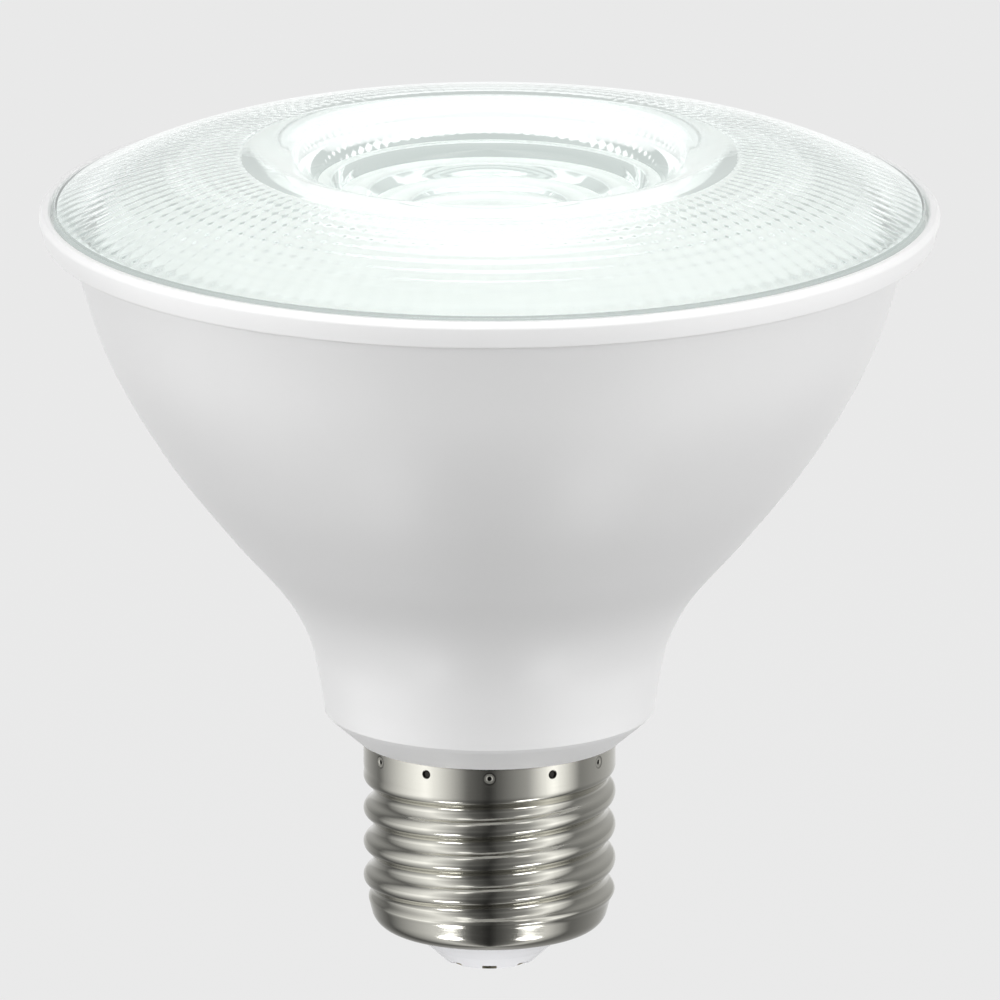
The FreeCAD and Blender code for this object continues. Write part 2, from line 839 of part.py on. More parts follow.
def make_transformer_winding():
    """Taped winding round the centre post, as deep as the space it has on the board."""
    gap = touch_gap
    middle = driver_face - transformer_depth / 2
    half_depth = transformer_depth / 2
    half_width = transformer_width / 2 - transformer_leg - gap
    low = transformer_low + transformer_leg + gap
    high = low + transformer_height - 2 * transformer_leg - 2 * gap
    coil = block(-half_width, half_width, middle - half_depth, middle + half_depth, low, high)
    half_post = transformer_post / 2 + gap
    half_core = transformer_core_depth / 2 + gap
    post = block(-half_post, half_post, middle - half_core, middle + half_core, low, high)
    return coil.makeFillet(transformer_leg / 2, upright_edges(coil)).cut(post)


def upright_edges(shape):
    """Straight edges of a block that run along the lamp axis."""
    return [edge for edge in shape.Edges if abs(edge.tangentAt(edge.FirstParameter).z) > 0.9]


def make_film_capacitor():
    """Moulded film capacitor with its two outer corners rounded."""
    low = neck_floor + output_can_rise
    size = (film_width, film_depth, transformer_low - film_top_gap - low)
    body = front_part(size, film_x, low)
    front = driver_face - film_depth
    corners = [edge for edge in upright_edges(body) if edge.CenterOfMass.y < front + touch_gap]
    return body.makeFillet(film_rounding, corners)


def make_filter_inductor():
    """Drum-core inductor with two flanges."""
    low = driver_top - inductor_drop
    high = low + inductor_height
    drum = turned((0.0, low), [
        (inductor_radius, low),
        (inductor_radius, low + inductor_flange),
        (inductor_waist, low + inductor_flange),
        (inductor_waist, high - inductor_flange),
        (inductor_radius, high - inductor_flange),
        (inductor_radius, high),
        (0.0, high),
        (0.0, low),
    ])
    drum.translate(FreeCAD.Vector(inductor_x, driver_face - inductor_radius - touch_gap, 0))
    return drum


def make_bridge_rectifier():
    return back_part(bridge_size, bridge_x, neck_floor + bridge_rise)


def make_driver_chip():
    return back_part(driver_chip_size, driver_chip_x, neck_floor + driver_chip_rise)


def make_varistor():
    """Disc varistor standing on the back of the tongue."""
    centre = FreeCAD.Vector(0, driver_back, tongue_bottom + varistor_rise)
    return Part.makeCylinder(varistor_radius, varistor_thickness, centre, FreeCAD.Vector(0, 1, 0))


def make_fuse_resistor():
    """Fusible resistor lying across the back of the board."""
    y = driver_back + fuse_radius + touch_gap
    centre = FreeCAD.Vector(fuse_x, y, neck_floor + fuse_rise)
    return Part.makeCylinder(fuse_radius, fuse_length, centre, FreeCAD.Vector(1, 0, 0))


def make_chip_resistors():
    """Row of small chip resistors on the back of the board."""
    low = neck_floor + resistor_rise
    return Part.Compound([back_part(resistor_size, resistor_x + index * resistor_pitch, low)
                          for index in range(resistor_count)])


nodes = {
    "lens": make_lens(),
    "retaining_ring": make_retaining_ring(),
    "housing": make_housing(),
    "heat_sink": make_heat_sink(),
    "reflector": make_reflector(),
    "lamp_board": make_lamp_board(),
    "lamp_chips": make_lamp_chips(),
    "board_screws": make_board_screws(),
    "driver_board": make_driver_board(),
    "input_capacitor": make_input_capacitor(),
    "output_capacitor": make_output_capacitor(),
    "transformer_core": make_transformer_core(),
    "transformer_winding": make_transformer_winding(),
    "film_capacitor": make_film_capacitor(),
    "filter_inductor": make_filter_inductor(),
    "bridge_rectifier": make_bridge_rectifier(),
    "driver_chip": make_driver_chip(),
    "varistor": make_varistor(),
    "fuse_resistor": make_fuse_resistor(),
    "chip_resistors": make_chip_resistors(),
    "output_lead_positive": make_output_lead(1),
    "output_lead_negative": make_output_lead(-1),
    "side_contact_lead": make_side_contact_lead(),
    "centre_contact_lead": make_centre_contact_lead(),
    "cap_shell": make_cap_shell(),
    "cap_insulator": make_cap_insulator(),
    "centre_contact": make_centre_contact(),
}

os.makedirs("parts", exist_ok=True)
for name, shape in nodes.items():
    shape.exportStep("parts/" + name + ".step")
    print(name, "valid", shape.isValid(), "solids", len(shape.Solids), "mm3", round(shape.Volume, 1))
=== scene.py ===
"""Visual model of a reflector spotlight bulb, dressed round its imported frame.

Every piece sits in the frame's own place: metres, +Z from the cap to the lens and
the tip of the centre contact at the origin. Sizes below are in millimetres.
"""
import logging
import math
from dataclasses import dataclass
from enum import Enum
from typing import Callable, Sequence

import bmesh
import bpy
from mathutils import Matrix, Vector


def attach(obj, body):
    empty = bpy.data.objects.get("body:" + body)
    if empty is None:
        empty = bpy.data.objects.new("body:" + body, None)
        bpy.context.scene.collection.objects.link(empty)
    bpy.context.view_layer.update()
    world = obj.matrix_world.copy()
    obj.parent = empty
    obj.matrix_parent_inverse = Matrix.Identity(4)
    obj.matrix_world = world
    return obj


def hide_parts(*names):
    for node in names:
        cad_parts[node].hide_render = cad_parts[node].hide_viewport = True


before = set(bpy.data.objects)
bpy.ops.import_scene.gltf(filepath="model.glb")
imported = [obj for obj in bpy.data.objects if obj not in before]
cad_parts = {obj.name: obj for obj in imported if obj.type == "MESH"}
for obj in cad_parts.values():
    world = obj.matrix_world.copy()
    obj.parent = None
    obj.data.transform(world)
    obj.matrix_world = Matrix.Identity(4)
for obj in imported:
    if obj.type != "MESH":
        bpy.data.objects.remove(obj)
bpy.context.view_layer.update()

MM = 0.001
MERGE_DISTANCE = 0.0005
FULL_TURN = 2.0 * math.pi
NOISE_SPAN = (0.3, 0.7)
CAP_TOP = 24.7
COLLAR_RADIUS = 13.18
MARK_COUNT = 12
MARK_HEIGHT = 23.5
LOG = logging.getLogger("bulb")

Point = tuple[float, float]
Outline = Sequence[Point]
Tree = bpy.types.NodeTree
Socket = bpy.types.NodeSocket


def linear(code: str) -> tuple[float, float, float, float]:
    """Turns an sRGB hex colour into linear red, green, blue and alpha.

    Args:
        code: colour such as "#E9E9E8".

    Returns:
        The four linear values.
    """
    def channel(value: float) -> float:
        """Turns one channel linear.

        Args:
            value: sRGB value from 0 to 1.

        Returns:
            The linear value.
        """
        return value / 12.92 if value <= 0.04045 else ((value + 0.055) / 1.055) ** 2.4

    red, green, blue = (int(code[place:place + 2], 16) / 255 for place in (1, 3, 5))
    return channel(red), channel(green), channel(blue), 1.0


def add_node(tree: Tree, kind: str, sockets: dict | None = None,
             **settings: object) -> bpy.types.Node:
    """Adds a shader node with its settings, values and links.

    Args:
        tree: the node tree to add to.
        kind: node type without its ShaderNode prefix.
        sockets: for each input, by name or index, a value or another node's output.
        **settings: attributes of the node.

    Returns:
        The new node.
    """
    node = tree.nodes.new("ShaderNode" + kind)
    for name, value in settings.items():
        setattr(node, name, value)
    for key, value in (sockets or {}).items():
        if isinstance(value, Socket):
            tree.links.new(value, node.inputs[key])
        else:
            node.inputs[key].default_value = value
    return node


def calculate(tree: Tree, operation: str, *values: Socket | float) -> Socket:
    """Adds a Math node.

    Args:
        tree: the node tree to add to.
        operation: what it does.
        *values: its inputs in order, each a number or another node's output.

    Returns:
        Its result.
    """
    return add_node(tree, "Math", dict(enumerate(values)), operation=operation).outputs[0]


def remap(tree: Tree, value: Socket, start: Socket | float, stop: Socket | float,
          low: float = 0.0, high: float = 1.0, **settings: object) -> Socket:
    """Adds a Map Range node, which doesn't go beyond low and high.

    Args:
        tree: the node tree to add to.
        value: what is mapped.
        start: where the result is low.
        stop: where it is high.
        low: result at the start.
        high: result at the stop.
        **settings: attributes of the node.

    Returns:
        Its result.
    """
    return add_node(tree, "MapRange", {"Value": value, "From Min": start, "From Max": stop,
                                       "To Min": low, "To Max": high},
                    **settings).outputs["Result"]


def length(tree: Tree, vector: Socket) -> Socket:
    """Adds a node that measures a vector.

    Args:
        tree: the node tree to add to.
        vector: the vector.

    Returns:
        Its length.
    """
    return add_node(tree, "VectorMath", {0: vector}, operation="LENGTH").outputs["Value"]


def seen_directly(tree: Tree, path: bpy.types.bpy_prop_collection) -> Socket:
    """Whether the camera looks here, straight or through the clear lens.

    Args:
        tree: the node tree to add to.
        path: outputs of a Light Path node.

    Returns:
        1 if it does and 0 if not.
    """
    return calculate(tree, "MAXIMUM", path["Is Camera Ray"], path["Is Transmission Ray"])


class Grain(Enum):
    """How a surface's pattern lies: the size of a grain along X, Y and Z against its pitch."""

    EVEN = (1.0, 1.0, 1.0)
    ROUND_THE_AXIS = (30.0, 30.0, 1.0)
    ALONG_THE_AXIS = (1.0, 1.0, 30.0)
    WOVEN = (1.0, 1.0, 1.6)


@dataclass(frozen=True)
class Marks:
    """Painted shade of the crimp marks round the collar, plain and ringed by turns: the pits and
    the ringed marks' outline are darkened where shade falls.

    The pits and the ring are radii; line_widths is how far the ring's painted shaded outline
    reaches, and how far its full shade does; pit_floor, line_share and matt_share are shares.
    """

    plain_pit: float
    ringed_pit: float
    ring: float
    # Painted shade colour laid in the pits and on the ringed marks' outline.
    colour: str = "#2A2927"
    pit_floor: float = 0.8
    line_widths: tuple[float, float] = (0.10, 0.04)
    line_share: float = 0.5
    matt_share: float = 0.85
    matt_roughness: float = 0.28


@dataclass(frozen=True)
class Finish:
    """A real surface: its colour, gloss and the pattern its making left, with painted glow or
    shade.

    painted_core_glow is how far a painted brighter core of glow reaches from the axis and how much
    it adds, and core_share is the share of that reach with all of it.
    """

    name: str
    colour: str
    second_colour: str
    roughness: float
    grain_pitch: float
    grain_depth: float
    patch_pitch: float = 20.0
    roughness_range: float = 0.04
    metallic: float = 0.0
    ior: float = 1.5
    transmission: float = 0.0
    coat: float = 0.0
    glow: float = 0.0
    glow_colour: str = "#FFFFFF"
    painted_core_glow: tuple[float, float] | None = None
    core_share: float = 0.85
    grain: Grain = Grain.EVEN
    marks: Marks | None = None

    def build(self) -> bpy.types.Material:
        """Builds the procedural material.

        Returns:
            The material, its patterns on Object coordinates.
        """
        material = bpy.data.materials.new(self.name)
        material.use_nodes = True
        tree = material.node_tree
        tree.nodes.clear()
        place = add_node(tree, "TexCoord").outputs["Object"]
        patches = add_node(tree, "TexNoise", {
            "Vector": place, "Scale": 1.0 / (self.patch_pitch * MM), "Detail": 2.0})
        colour = add_node(tree, "Mix", {
            0: patches.outputs["Fac"], 6: linear(self.colour), 7: linear(self.second_colour)},
            data_type="RGBA").outputs[2]
        stretch = add_node(tree, "Mapping", {
            "Vector": place, "Scale": tuple(1.0 / share for share in self.grain.value)})
        grains = add_node(tree, "TexNoise", {
            "Vector": stretch.outputs["Vector"], "Scale": 1.0 / (self.grain_pitch * MM),
            "Detail": 3.0})
        gloss = remap(tree, grains.outputs["Fac"], *NOISE_SPAN,
                      max(self.roughness - self.roughness_range, 0.0),
                      self.roughness + self.roughness_range)
        # Painted shade: the marks' pits and the ringed marks' outline get a dark colour where
        # shade falls; the rings get a matt roughness.
        if self.marks:
            dark, matt = self.shade(tree, place)
            colour = add_node(tree, "Mix", {
                0: dark, 6: colour, 7: linear(self.marks.colour)}, data_type="RGBA").outputs[2]
            gloss = calculate(tree, "MULTIPLY_ADD", matt, self.marks.matt_roughness, gloss)
        # Painted light: emission on a part that is no lamp, brighter round the axis where
        # painted_core_glow is set.
        glow = self.painted_bright_core(tree, place) if self.painted_core_glow else self.glow
        relief = add_node(tree, "Bump", {
            "Height": grains.outputs["Fac"], "Strength": 1.0,
            "Distance": self.grain_depth * MM})
        shader = add_node(tree, "BsdfPrincipled", {
            "Base Color": colour, "Roughness": gloss,
            "Normal": relief.outputs["Normal"], "Metallic": self.metallic, "IOR": self.ior,
            "Transmission Weight": self.transmission, "Coat Weight": self.coat,
            "Emission Color": linear(self.glow_colour), "Emission Strength": glow})
        add_node(tree, "OutputMaterial", {"Surface": shader.outputs["BSDF"]})
        return material

    def painted_bright_core(self, tree: Tree, place: Socket) -> Socket:
        """Painted glow that rises near the lamp's axis: emission on a lens that is no lamp, for
        the chips' light that comes out most there.

        Args:
            tree: node tree to add to.
            place: Object coordinates.

        Returns:
            The strength of the glow.
        """
        reach, extra = self.painted_core_glow
        flat = add_node(tree, "VectorMath", {0: place, 1: (1.0, 1.0, 0.0)},
                        operation="MULTIPLY")
        return remap(tree, length(tree, flat.outputs[0]), reach * MM,
                     self.core_share * reach * MM, self.glow, self.glow + extra)

    def shade(self, tree: Tree, place: Socket) -> tuple[Socket, Socket]:
        """Painted shade and matt shares of the marks punched round a collar.

        Args:
            tree: node tree to add to.
            place: Object coordinates.

        Returns:
            The share of painted shade, 1 in a pit, and the share of matt surface, 1 in a ring.
        """
        marks = self.marks
        split = add_node(tree, "SeparateXYZ", {"Vector": place}).outputs
        turn = calculate(tree, "ARCTAN2", split["Y"], split["X"])
        share = calculate(tree, "MULTIPLY_ADD", turn, MARK_COUNT / FULL_TURN, 0.5)
        half_pitch = FULL_TURN / MARK_COUNT * COLLAR_RADIUS / 2
        across = remap(tree, calculate(tree, "FRACT", share), 0.0, 1.0, -half_pitch, half_pitch)
        above = calculate(tree, "MULTIPLY_ADD", split["Z"], 1.0 / MM, -MARK_HEIGHT)
        flat = add_node(tree, "CombineXYZ", {"X": across, "Y": above})
        away = length(tree, flat.outputs[0])
        odd = calculate(tree, "FLOORED_MODULO", calculate(tree, "FLOOR", share), 2.0)
        reach = remap(tree, odd, 0.0, 1.0, marks.plain_pit, marks.ringed_pit)
        inner = calculate(tree, "MULTIPLY", reach, marks.pit_floor)
        pit = remap(tree, away, reach, inner)
        line = calculate(tree, "ABSOLUTE", calculate(tree, "SUBTRACT", away, marks.ring))
        edge = remap(tree, line, *marks.line_widths, 0.0, marks.line_share)
        # Painted shade: full in the pit, and line_share of it on the ringed marks' outline.
        dark = calculate(tree, "MAXIMUM", pit, calculate(tree, "MULTIPLY", edge, odd))
        inside = remap(tree, away, marks.ring, marks.matt_share * marks.ring)
        return dark, calculate(tree, "MULTIPLY", inside, odd)


# Injection-moulded PBT in satin white: broad soft highlights and a trace of mould grain.
SATIN_WHITE = Finish("moulded_satin_white_plastic", "#F1F1F1", "#EEEEEE", 0.36, 0.35, 0.0012,
                     roughness_range=0.03, ior=1.48)
# The ring is the same white plastic as the body in a lighter colour: painted light for the light
# the ring catches.
RING_WHITE_PAINTED_LIGHTER = Finish("moulded_white_plastic_painted_lighter", "#FAFAFA", "#F8F8F8", 0.34, 0.35, 0.0010,
                    roughness_range=0.03, ior=1.48)
# Injection-moulded clear polycarbonate: polished, water-clear with a faint green cast; its glow is
# painted light for the lit chips' light through it, brighter round the axis.
CLEAR_PLASTIC = Finish("moulded_clear_polycarbonate", "#FAFDFC", "#F8FCFB", 0.03, 1.2, 0.0008,
                       roughness_range=0.02, ior=1.42, transmission=1.0, glow=0.09,
                       glow_colour="#F0F9F6", painted_core_glow=(24.0, 0.05))
# Rolled brass shell with bright nickel plate: warm mirror with faint rolling lines round it; its
# crimp marks carry painted shade in their pits and on the ringed marks' outline.
NICKEL_PLATE = Finish("rolled_bright_nickel_plate", "#CDCCC4", "#C4C2B9", 0.13, 0.10, 0.0006,
                      roughness_range=0.05, metallic=1.0, grain=Grain.ROUND_THE_AXIS,
                      marks=Marks(plain_pit=0.51, ringed_pit=0.27, ring=0.60))
# Pressed and glazed insulating disc: pale grey with a soft shine.
GLAZED_GREY = Finish("glazed_pale_ceramic", "#F4F4F6", "#EFEFF2", 0.22, 0.4, 0.0015, coat=0.3)
# Stamped and tinned brass contact: bright with fine drawing lines.
TINNED_BRASS = Finish("stamped_tinned_brass", "#C9C2B0", "#B9B19D", 0.25, 0.08, 0.001,
                      metallic=1.0, grain=Grain.ROUND_THE_AXIS)
# Highly reflective moulded white, smooth and slightly glossy, so the cup looks evenly bright.
REFLECTOR_WHITE = Finish("moulded_reflector_white_plastic", "#ECECEB", "#E9E9E8", 0.25, 0.5,
                         0.001)
# Pressed aluminium sheet: dull metal with drawing lines along the wall.
PRESSED_ALUMINIUM = Finish("pressed_aluminium_sheet", "#C8C9CB", "#B9BABD", 0.38, 0.12, 0.002,
                           metallic=1.0, grain=Grain.ALONG_THE_AXIS)
# White solder mask on a metal board: eggshell sheen.
WHITE_MASK = Finish("printed_white_solder_mask", "#F2F2EE", "#ECECE7", 0.4, 0.25, 0.002, coat=0.1)
# Phosphor in silicone over the light chips: matt, and lit as the lamp is in use.
LIT_PHOSPHOR = Finish("cast_lit_phosphor", "#FFFBEF", "#FFF6DA", 0.6, 0.2, 0.003, glow=1.3,
                      glow_colour="#FFFBEF")
# Zinc-plated steel screws: grey, half bright.
ZINC_STEEL = Finish("turned_zinc_plated_steel", "#A9ABAE", "#94979C", 0.3, 0.08, 0.0015,
                    metallic=1.0, grain=Grain.ROUND_THE_AXIS)
# Green solder mask on woven glass-epoxy board: the weave telegraphs through.
GREEN_MASK = Finish("woven_glass_epoxy_board", "#2C6B3C", "#215932", 0.35, 0.45, 0.004,
                    coat=0.2, patch_pitch=3.0, grain=Grain.WOVEN)
# Shrunk plastic sleeve over an aluminium can.
DARK_SLEEVE = Finish("shrunk_dark_sleeve", "#23252B", "#1C1E24", 0.3, 0.3, 0.002)
# Pressed and sintered ferrite: dark, dull and slightly sugary.
FERRITE = Finish("sintered_ferrite", "#3A3B3E", "#2F3032", 0.55, 0.12, 0.006)
# Polyester tape over the winding: amber, with the wrap's fine edges.
AMBER_TAPE = Finish("wrapped_polyester_tape", "#D9B13C", "#CDA12F", 0.28, 0.5, 0.004,
                    grain=Grain.ROUND_THE_AXIS)
# Moulded film capacitor body.
BROWN_MOULDING = Finish("moulded_brown_epoxy", "#7A3F24", "#6C351D", 0.3, 0.3, 0.003)
# Transfer-moulded epoxy packages: matt black.
BLACK_EPOXY = Finish("moulded_black_epoxy", "#1D1D1E", "#161617", 0.5, 0.12, 0.004)
# Dipped resin coats, rounded and glossy.
BLUE_DIP = Finish("dipped_blue_resin", "#2B4F8F", "#234381", 0.25, 0.6, 0.005)
GREEN_DIP = Finish("dipped_green_resin", "#5D7F62", "#527357", 0.3, 0.5, 0.005)
# Extruded insulation on the output leads.
RED_INSULATION = Finish("extruded_red_insulation", "#B3241C", "#A51E17", 0.35, 0.4, 0.002)
BLACK_INSULATION = Finish("extruded_black_insulation", "#1E1E1F", "#171718", 0.35, 0.4, 0.002)


def arc(centre: Point, radius: float, start: float, end: float, steps: int) -> list[Point]:
    """Points along a circle's arc in the half section.

    Args:
        centre: (r, z) of the arc's centre.
        radius: its radius.
        start: first angle in degrees, from +r towards +z.
        end: last angle in degrees.
        steps: number of runs.

    Returns:
        The points, both ends included.
    """
    points = []
    for index in range(steps + 1):
        angle = math.radians(start + (end - start) * index / steps)
        points.append((centre[0] + radius * math.cos(angle),
                       centre[1] + radius * math.sin(angle)))
    return points


def arc_through(first: Point, middle: Point, last: Point, steps: int) -> list[Point]:
    """Points along the arc through three points, ends included.

    Args:
        first: (r, z) of the start.
        middle: a point on the way.
        last: the end.
        steps: number of runs.

    Returns:
        The points.
    """
    (ax, ay), (bx, by), (cx, cy) = first, middle, last
    scale = 2 * (ax * (by - cy) + bx * (cy - ay) + cx * (ay - by))
    aa, bb, cc = ax * ax + ay * ay, bx * bx + by * by, cx * cx + cy * cy
    x = (aa * (by - cy) + bb * (cy - ay) + cc * (ay - by)) / scale
    y = (aa * (cx - bx) + bb * (ax - cx) + cc * (bx - ax)) / scale
    begin, halfway, end = (math.degrees(math.atan2(q - y, p - x))
                           for p, q in (first, middle, last))
    turn = (end - begin) % 360.0
    if (halfway - begin) % 360.0 > turn:
        turn -= 360.0
    return arc((x, y), math.dist((x, y), first), begin, begin + turn, steps)


def filleted(corners: Sequence[tuple[float, float, float]], steps: int = 5) -> list[Point]:
    """Rounds the corners of a run of straight lines.

    Args:
        corners: (r, z, fillet) of each corner; a fillet of 0 stays sharp.
        steps: runs in each rounded corner.

    Returns:
        The outline's points.
    """
    points: list[Point] = []
    for index, (r, z, fillet) in enumerate(corners):
        if fillet <= 0.0 or index in (0, len(corners) - 1):
            points.append((r, z))
            continue
        here = Vector((r, z))
        back = (Vector(corners[index - 1][:2]) - here).normalized()
        ahead = (Vector(corners[index + 1][:2]) - here).normalized()
        half = back.angle(ahead) / 2
        reach = fillet / math.tan(half)
        centre = here + (back + ahead).normalized() * (fillet / math.sin(half))
        start, end = here + back * reach, here + ahead * reach
        middle = centre + (here - centre).normalized() * fillet
        points += arc_through(tuple(start), tuple(middle), tuple(end), steps)
    return points


def smooth_through(points: Outline, steps: int) -> list[Point]:
    """Smooth curve through points, with tangents set by each point's neighbours.

    Args:
        points: (r, z) stations.
        steps: runs between two stations.

    Returns:
        The curve's points.
    """
    places = [Vector(point) for point in points]
    places = [2 * places[0] - places[1]] + places + [2 * places[-1] - places[-2]]
    curve = []
    for before, here, there, after in zip(places, places[1:], places[2:], places[3:]):
        span = (there - here).length
        lean_here = (there - before) / max((there - here).length + (here - before).length, 1e-9)
        lean_there = (after - here) / max((after - there).length + (there - here).length, 1e-9)
        for index in range(steps):
            t = index / steps
            a, b = 2 * t ** 3 - 3 * t ** 2 + 1, t ** 3 - 2 * t ** 2 + t
            c, d = -2 * t ** 3 + 3 * t ** 2, t ** 3 - t ** 2
            point = a * here + b * span * lean_here + c * there + d * span * lean_there
            curve.append((point.x, point.y))
    return curve + [tuple(points[-1])]


def inward(outline: Outline, distance: float) -> list[Point]:
    """Moves each point of a rising outline towards the lamp's axis, square to the curve.

    Args:
        outline: (r, z) points from low to high.
        distance: how far to move.

    Returns:
        The moved points.
    """
    moved = []
    for index, (r, z) in enumerate(outline):
        low = Vector(outline[max(index - 1, 0)])
        high = Vector(outline[min(index + 1, len(outline) - 1)])
        along = (high - low).normalized()
        moved.append((r - along.y * distance, z + along.x * distance))
    return moved


def turned(outline: Outline, steps: int) -> bmesh.types.BMesh:
    """Spins a half section once round the lamp's axis.

    Args:
        outline: (r, z) points; the last joins the first unless both lie on the axis.
        steps: facets in a full turn.

    Returns:
        A closed mesh in metres.
    """
    shape = bmesh.new()
    verts = [shape.verts.new((r * MM, 0.0, z * MM)) for r, z in outline]
    pairs = list(zip(verts, verts[1:]))
    if outline[0][0] > 0.0 or outline[-1][0] > 0.0:
        pairs.append((verts[-1], verts[0]))
    edges = [shape.edges.new(pair) for pair in pairs]
    bmesh.ops.spin(shape, geom=verts + edges, cent=(0, 0, 0), axis=(0, 0, 1), dvec=(0, 0, 0),
                   angle=FULL_TURN, steps=steps, use_merge=True, use_duplicate=False)
    close(shape)
    return shape


def close(shape: bmesh.types.BMesh) -> None:
    """Merges doubled vertices and turns every face outward.

    Args:
        shape: the mesh to close, changed in place.
    """
    bmesh.ops.remove_doubles(shape, verts=shape.verts, dist=MERGE_DISTANCE * MM)
    bmesh.ops.recalc_face_normals(shape, faces=shape.faces)


def settle(name: str, shape: bmesh.types.BMesh, finish: bpy.types.Material,
           nodes: Sequence[str], crease: float = 32.0) -> bpy.types.Object:
    """Turns a finished mesh into a piece that stands for its nodes.

    Args:
        name: the piece's name.
        shape: its mesh, freed here.
        finish: its material.
        nodes: nodes that the piece stands for.
        crease: edges sharper than this many degrees stay crisp.

    Returns:
        The piece.
    """
    for face in shape.faces:
        face.smooth = True
    for edge in shape.edges:
        edge.smooth = edge.calc_face_angle(0.0) < math.radians(crease)
    mesh = bpy.data.meshes.new(name)
    shape.to_mesh(mesh)
    shape.free()
    piece = bpy.data.objects.new(name, mesh)
    bpy.context.scene.collection.objects.link(piece)
    mesh.materials.append(finish)
    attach(piece, "root")
    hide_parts(*nodes)
    LOG.info("%s: %d faces, stands for %s", name, len(mesh.polygons), ", ".join(nodes))
    return piece


def dress(finish: bpy.types.Material, *nodes: str) -> None:
    """Gives the frame's own nodes a finish.

    Args:
        finish: the material.
        *nodes: the nodes' names.
    """
    for name in nodes:
        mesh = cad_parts[name].data
        mesh.materials.clear()
        mesh.materials.append(finish)
        LOG.info("%s: dressed as %s", name, finish.name)


@dataclass
class Body:
    """White housing with its neck and bowl, and the ring that holds the lens.

    spigot is its radius, bore and foot; spigot_flare is where it starts and stops widening
    to the seat; chamfer is its foot's radius, and its edge's radius and height.
    """

    white: bpy.types.Material
    wall: float = 1.8
    steps: int = 240
    seat_radius: float = 12.79
    cap_top: float = CAP_TOP
    spigot: tuple[float, float, float] = (11.61, 10.21, 12.0)
    spigot_flare: tuple[float, float] = (19.8, 22.64)
    chamfer: tuple[float, float, float] = (13.9, 16.8, 27.2)
    chamfer_fillet: float = 0.5
    neck_bore: Point = (15.4, 27.2)
    bore_shoulder: float = 1.0
    stations: tuple[Point, ...] = (
        (17.2, 27.65), (17.7, 30.8), (18.8, 35.5), (21.4, 40.4), (27.4, 47.4), (34.1, 56.1),
        (39.9, 66.4), (43.9, 78.6))
    rail_sides: tuple[tuple[float, float], ...] = ((1.8, 3.05), (4.95, 6.2))
    rail_size: tuple[float, float] = (4.3, 15.0)
    rail_centre: Point = (13.45, 34.7)
    bosses: int = 3
    boss_circle: float = 24.4
    boss_radius: float = 3.0
    boss_heights: tuple[float, float] = (49.5, 56.5)
    ring_corners: tuple[tuple[float, float, float], ...] = (
        (40.81, 75.4, 0.0), (42.0, 75.4, 0.2), (42.3, 78.6, 0.0), (46.4, 78.6, 0.25),
        (47.0, 80.9, 0.45), (46.55, 81.5, 0.3), (45.98, 81.5, 0.22), (45.75, 81.1, 0.1),
        (45.75, 79.9, 0.0), (42.9, 79.9, 0.15), (41.4, 78.4, 0.0), (40.81, 75.4, 0.0))

    def build(self) -> None:
        """Builds the housing and the ring."""
        self.housing()
        self.ring()

    def housing(self) -> None:
        """Builds the housing as one turned wall with its inner rails and bosses."""
        outside = smooth_through(self.stations, 10)
        inside = [point for point in inward(outside, self.wall) if point[0] > self.neck_bore[0]]
        inside[-1] = (inside[-1][0], self.stations[-1][1])
        spigot_radius, spigot_bore, spigot_foot = self.spigot
        flare_low, flare_high = self.spigot_flare
        foot_radius, edge_radius, edge_height = self.chamfer
        neck = filleted([(foot_radius, self.cap_top, 0.0),
                         (edge_radius, edge_height, self.chamfer_fillet),
                         (*self.stations[0], 0.0)], 6)
        outline = [(spigot_bore, spigot_foot), (spigot_radius, spigot_foot),
                   (spigot_radius, flare_low), (self.seat_radius, flare_high),
                   (self.seat_radius, self.cap_top)]
        outline += neck[:-1] + outside + list(reversed(inside))
        outline += [(self.neck_bore[0], inside[0][1] - self.bore_shoulder), self.neck_bore,
                    (spigot_bore, self.neck_bore[1])]
        shape = turned(outline, self.steps)
        self.add_rails(shape)
        self.add_bosses(shape)
        settle("housing_shell", shape, self.white, ["housing"])

    def add_rails(self, shape: bmesh.types.BMesh) -> None:
        """Adds the two slotted rails that hold the driver board.

        Args:
            shape: the housing's mesh, changed in place.
        """
        length, height = self.rail_size
        out, up = self.rail_centre
        for side in (-1, 1):
            for low, high in self.rail_sides:
                size = Vector((length, high - low, height)) * MM
                centre = Vector((side * out, (low + high) / 2, up)) * MM
                place = Matrix.Translation(centre) @ Matrix.Diagonal(size).to_4x4()
                bmesh.ops.create_cube(shape, size=1.0, matrix=place)

    def add_bosses(self, shape: bmesh.types.BMesh) -> None:
        """Adds the three screw bosses that carry the heat sink.

        Args:
            shape: the housing's mesh, changed in place.
        """
        low, high = self.boss_heights
        radius = self.boss_radius * MM
        for index in range(self.bosses):
            angle = FULL_TURN * (index / self.bosses + 0.25)
            centre = Vector((self.boss_circle * math.cos(angle),
                             self.boss_circle * math.sin(angle), (low + high) / 2))
            bmesh.ops.create_cone(shape, cap_ends=True, segments=32, radius1=radius,
                                  radius2=radius, depth=(high - low) * MM,
                                  matrix=Matrix.Translation(centre * MM))

    def ring(self) -> None:
        """Builds the retaining ring with its rounded lip, groove, ledge and skirt."""
        shape = turned(filleted(self.ring_corners)[:-1], self.steps)
        # Its white is painted lighter than the body's, for the light the ring catches.
        settle("lens_ring", shape, RING_WHITE_PAINTED_LIGHTER.build(), ["retaining_ring"])


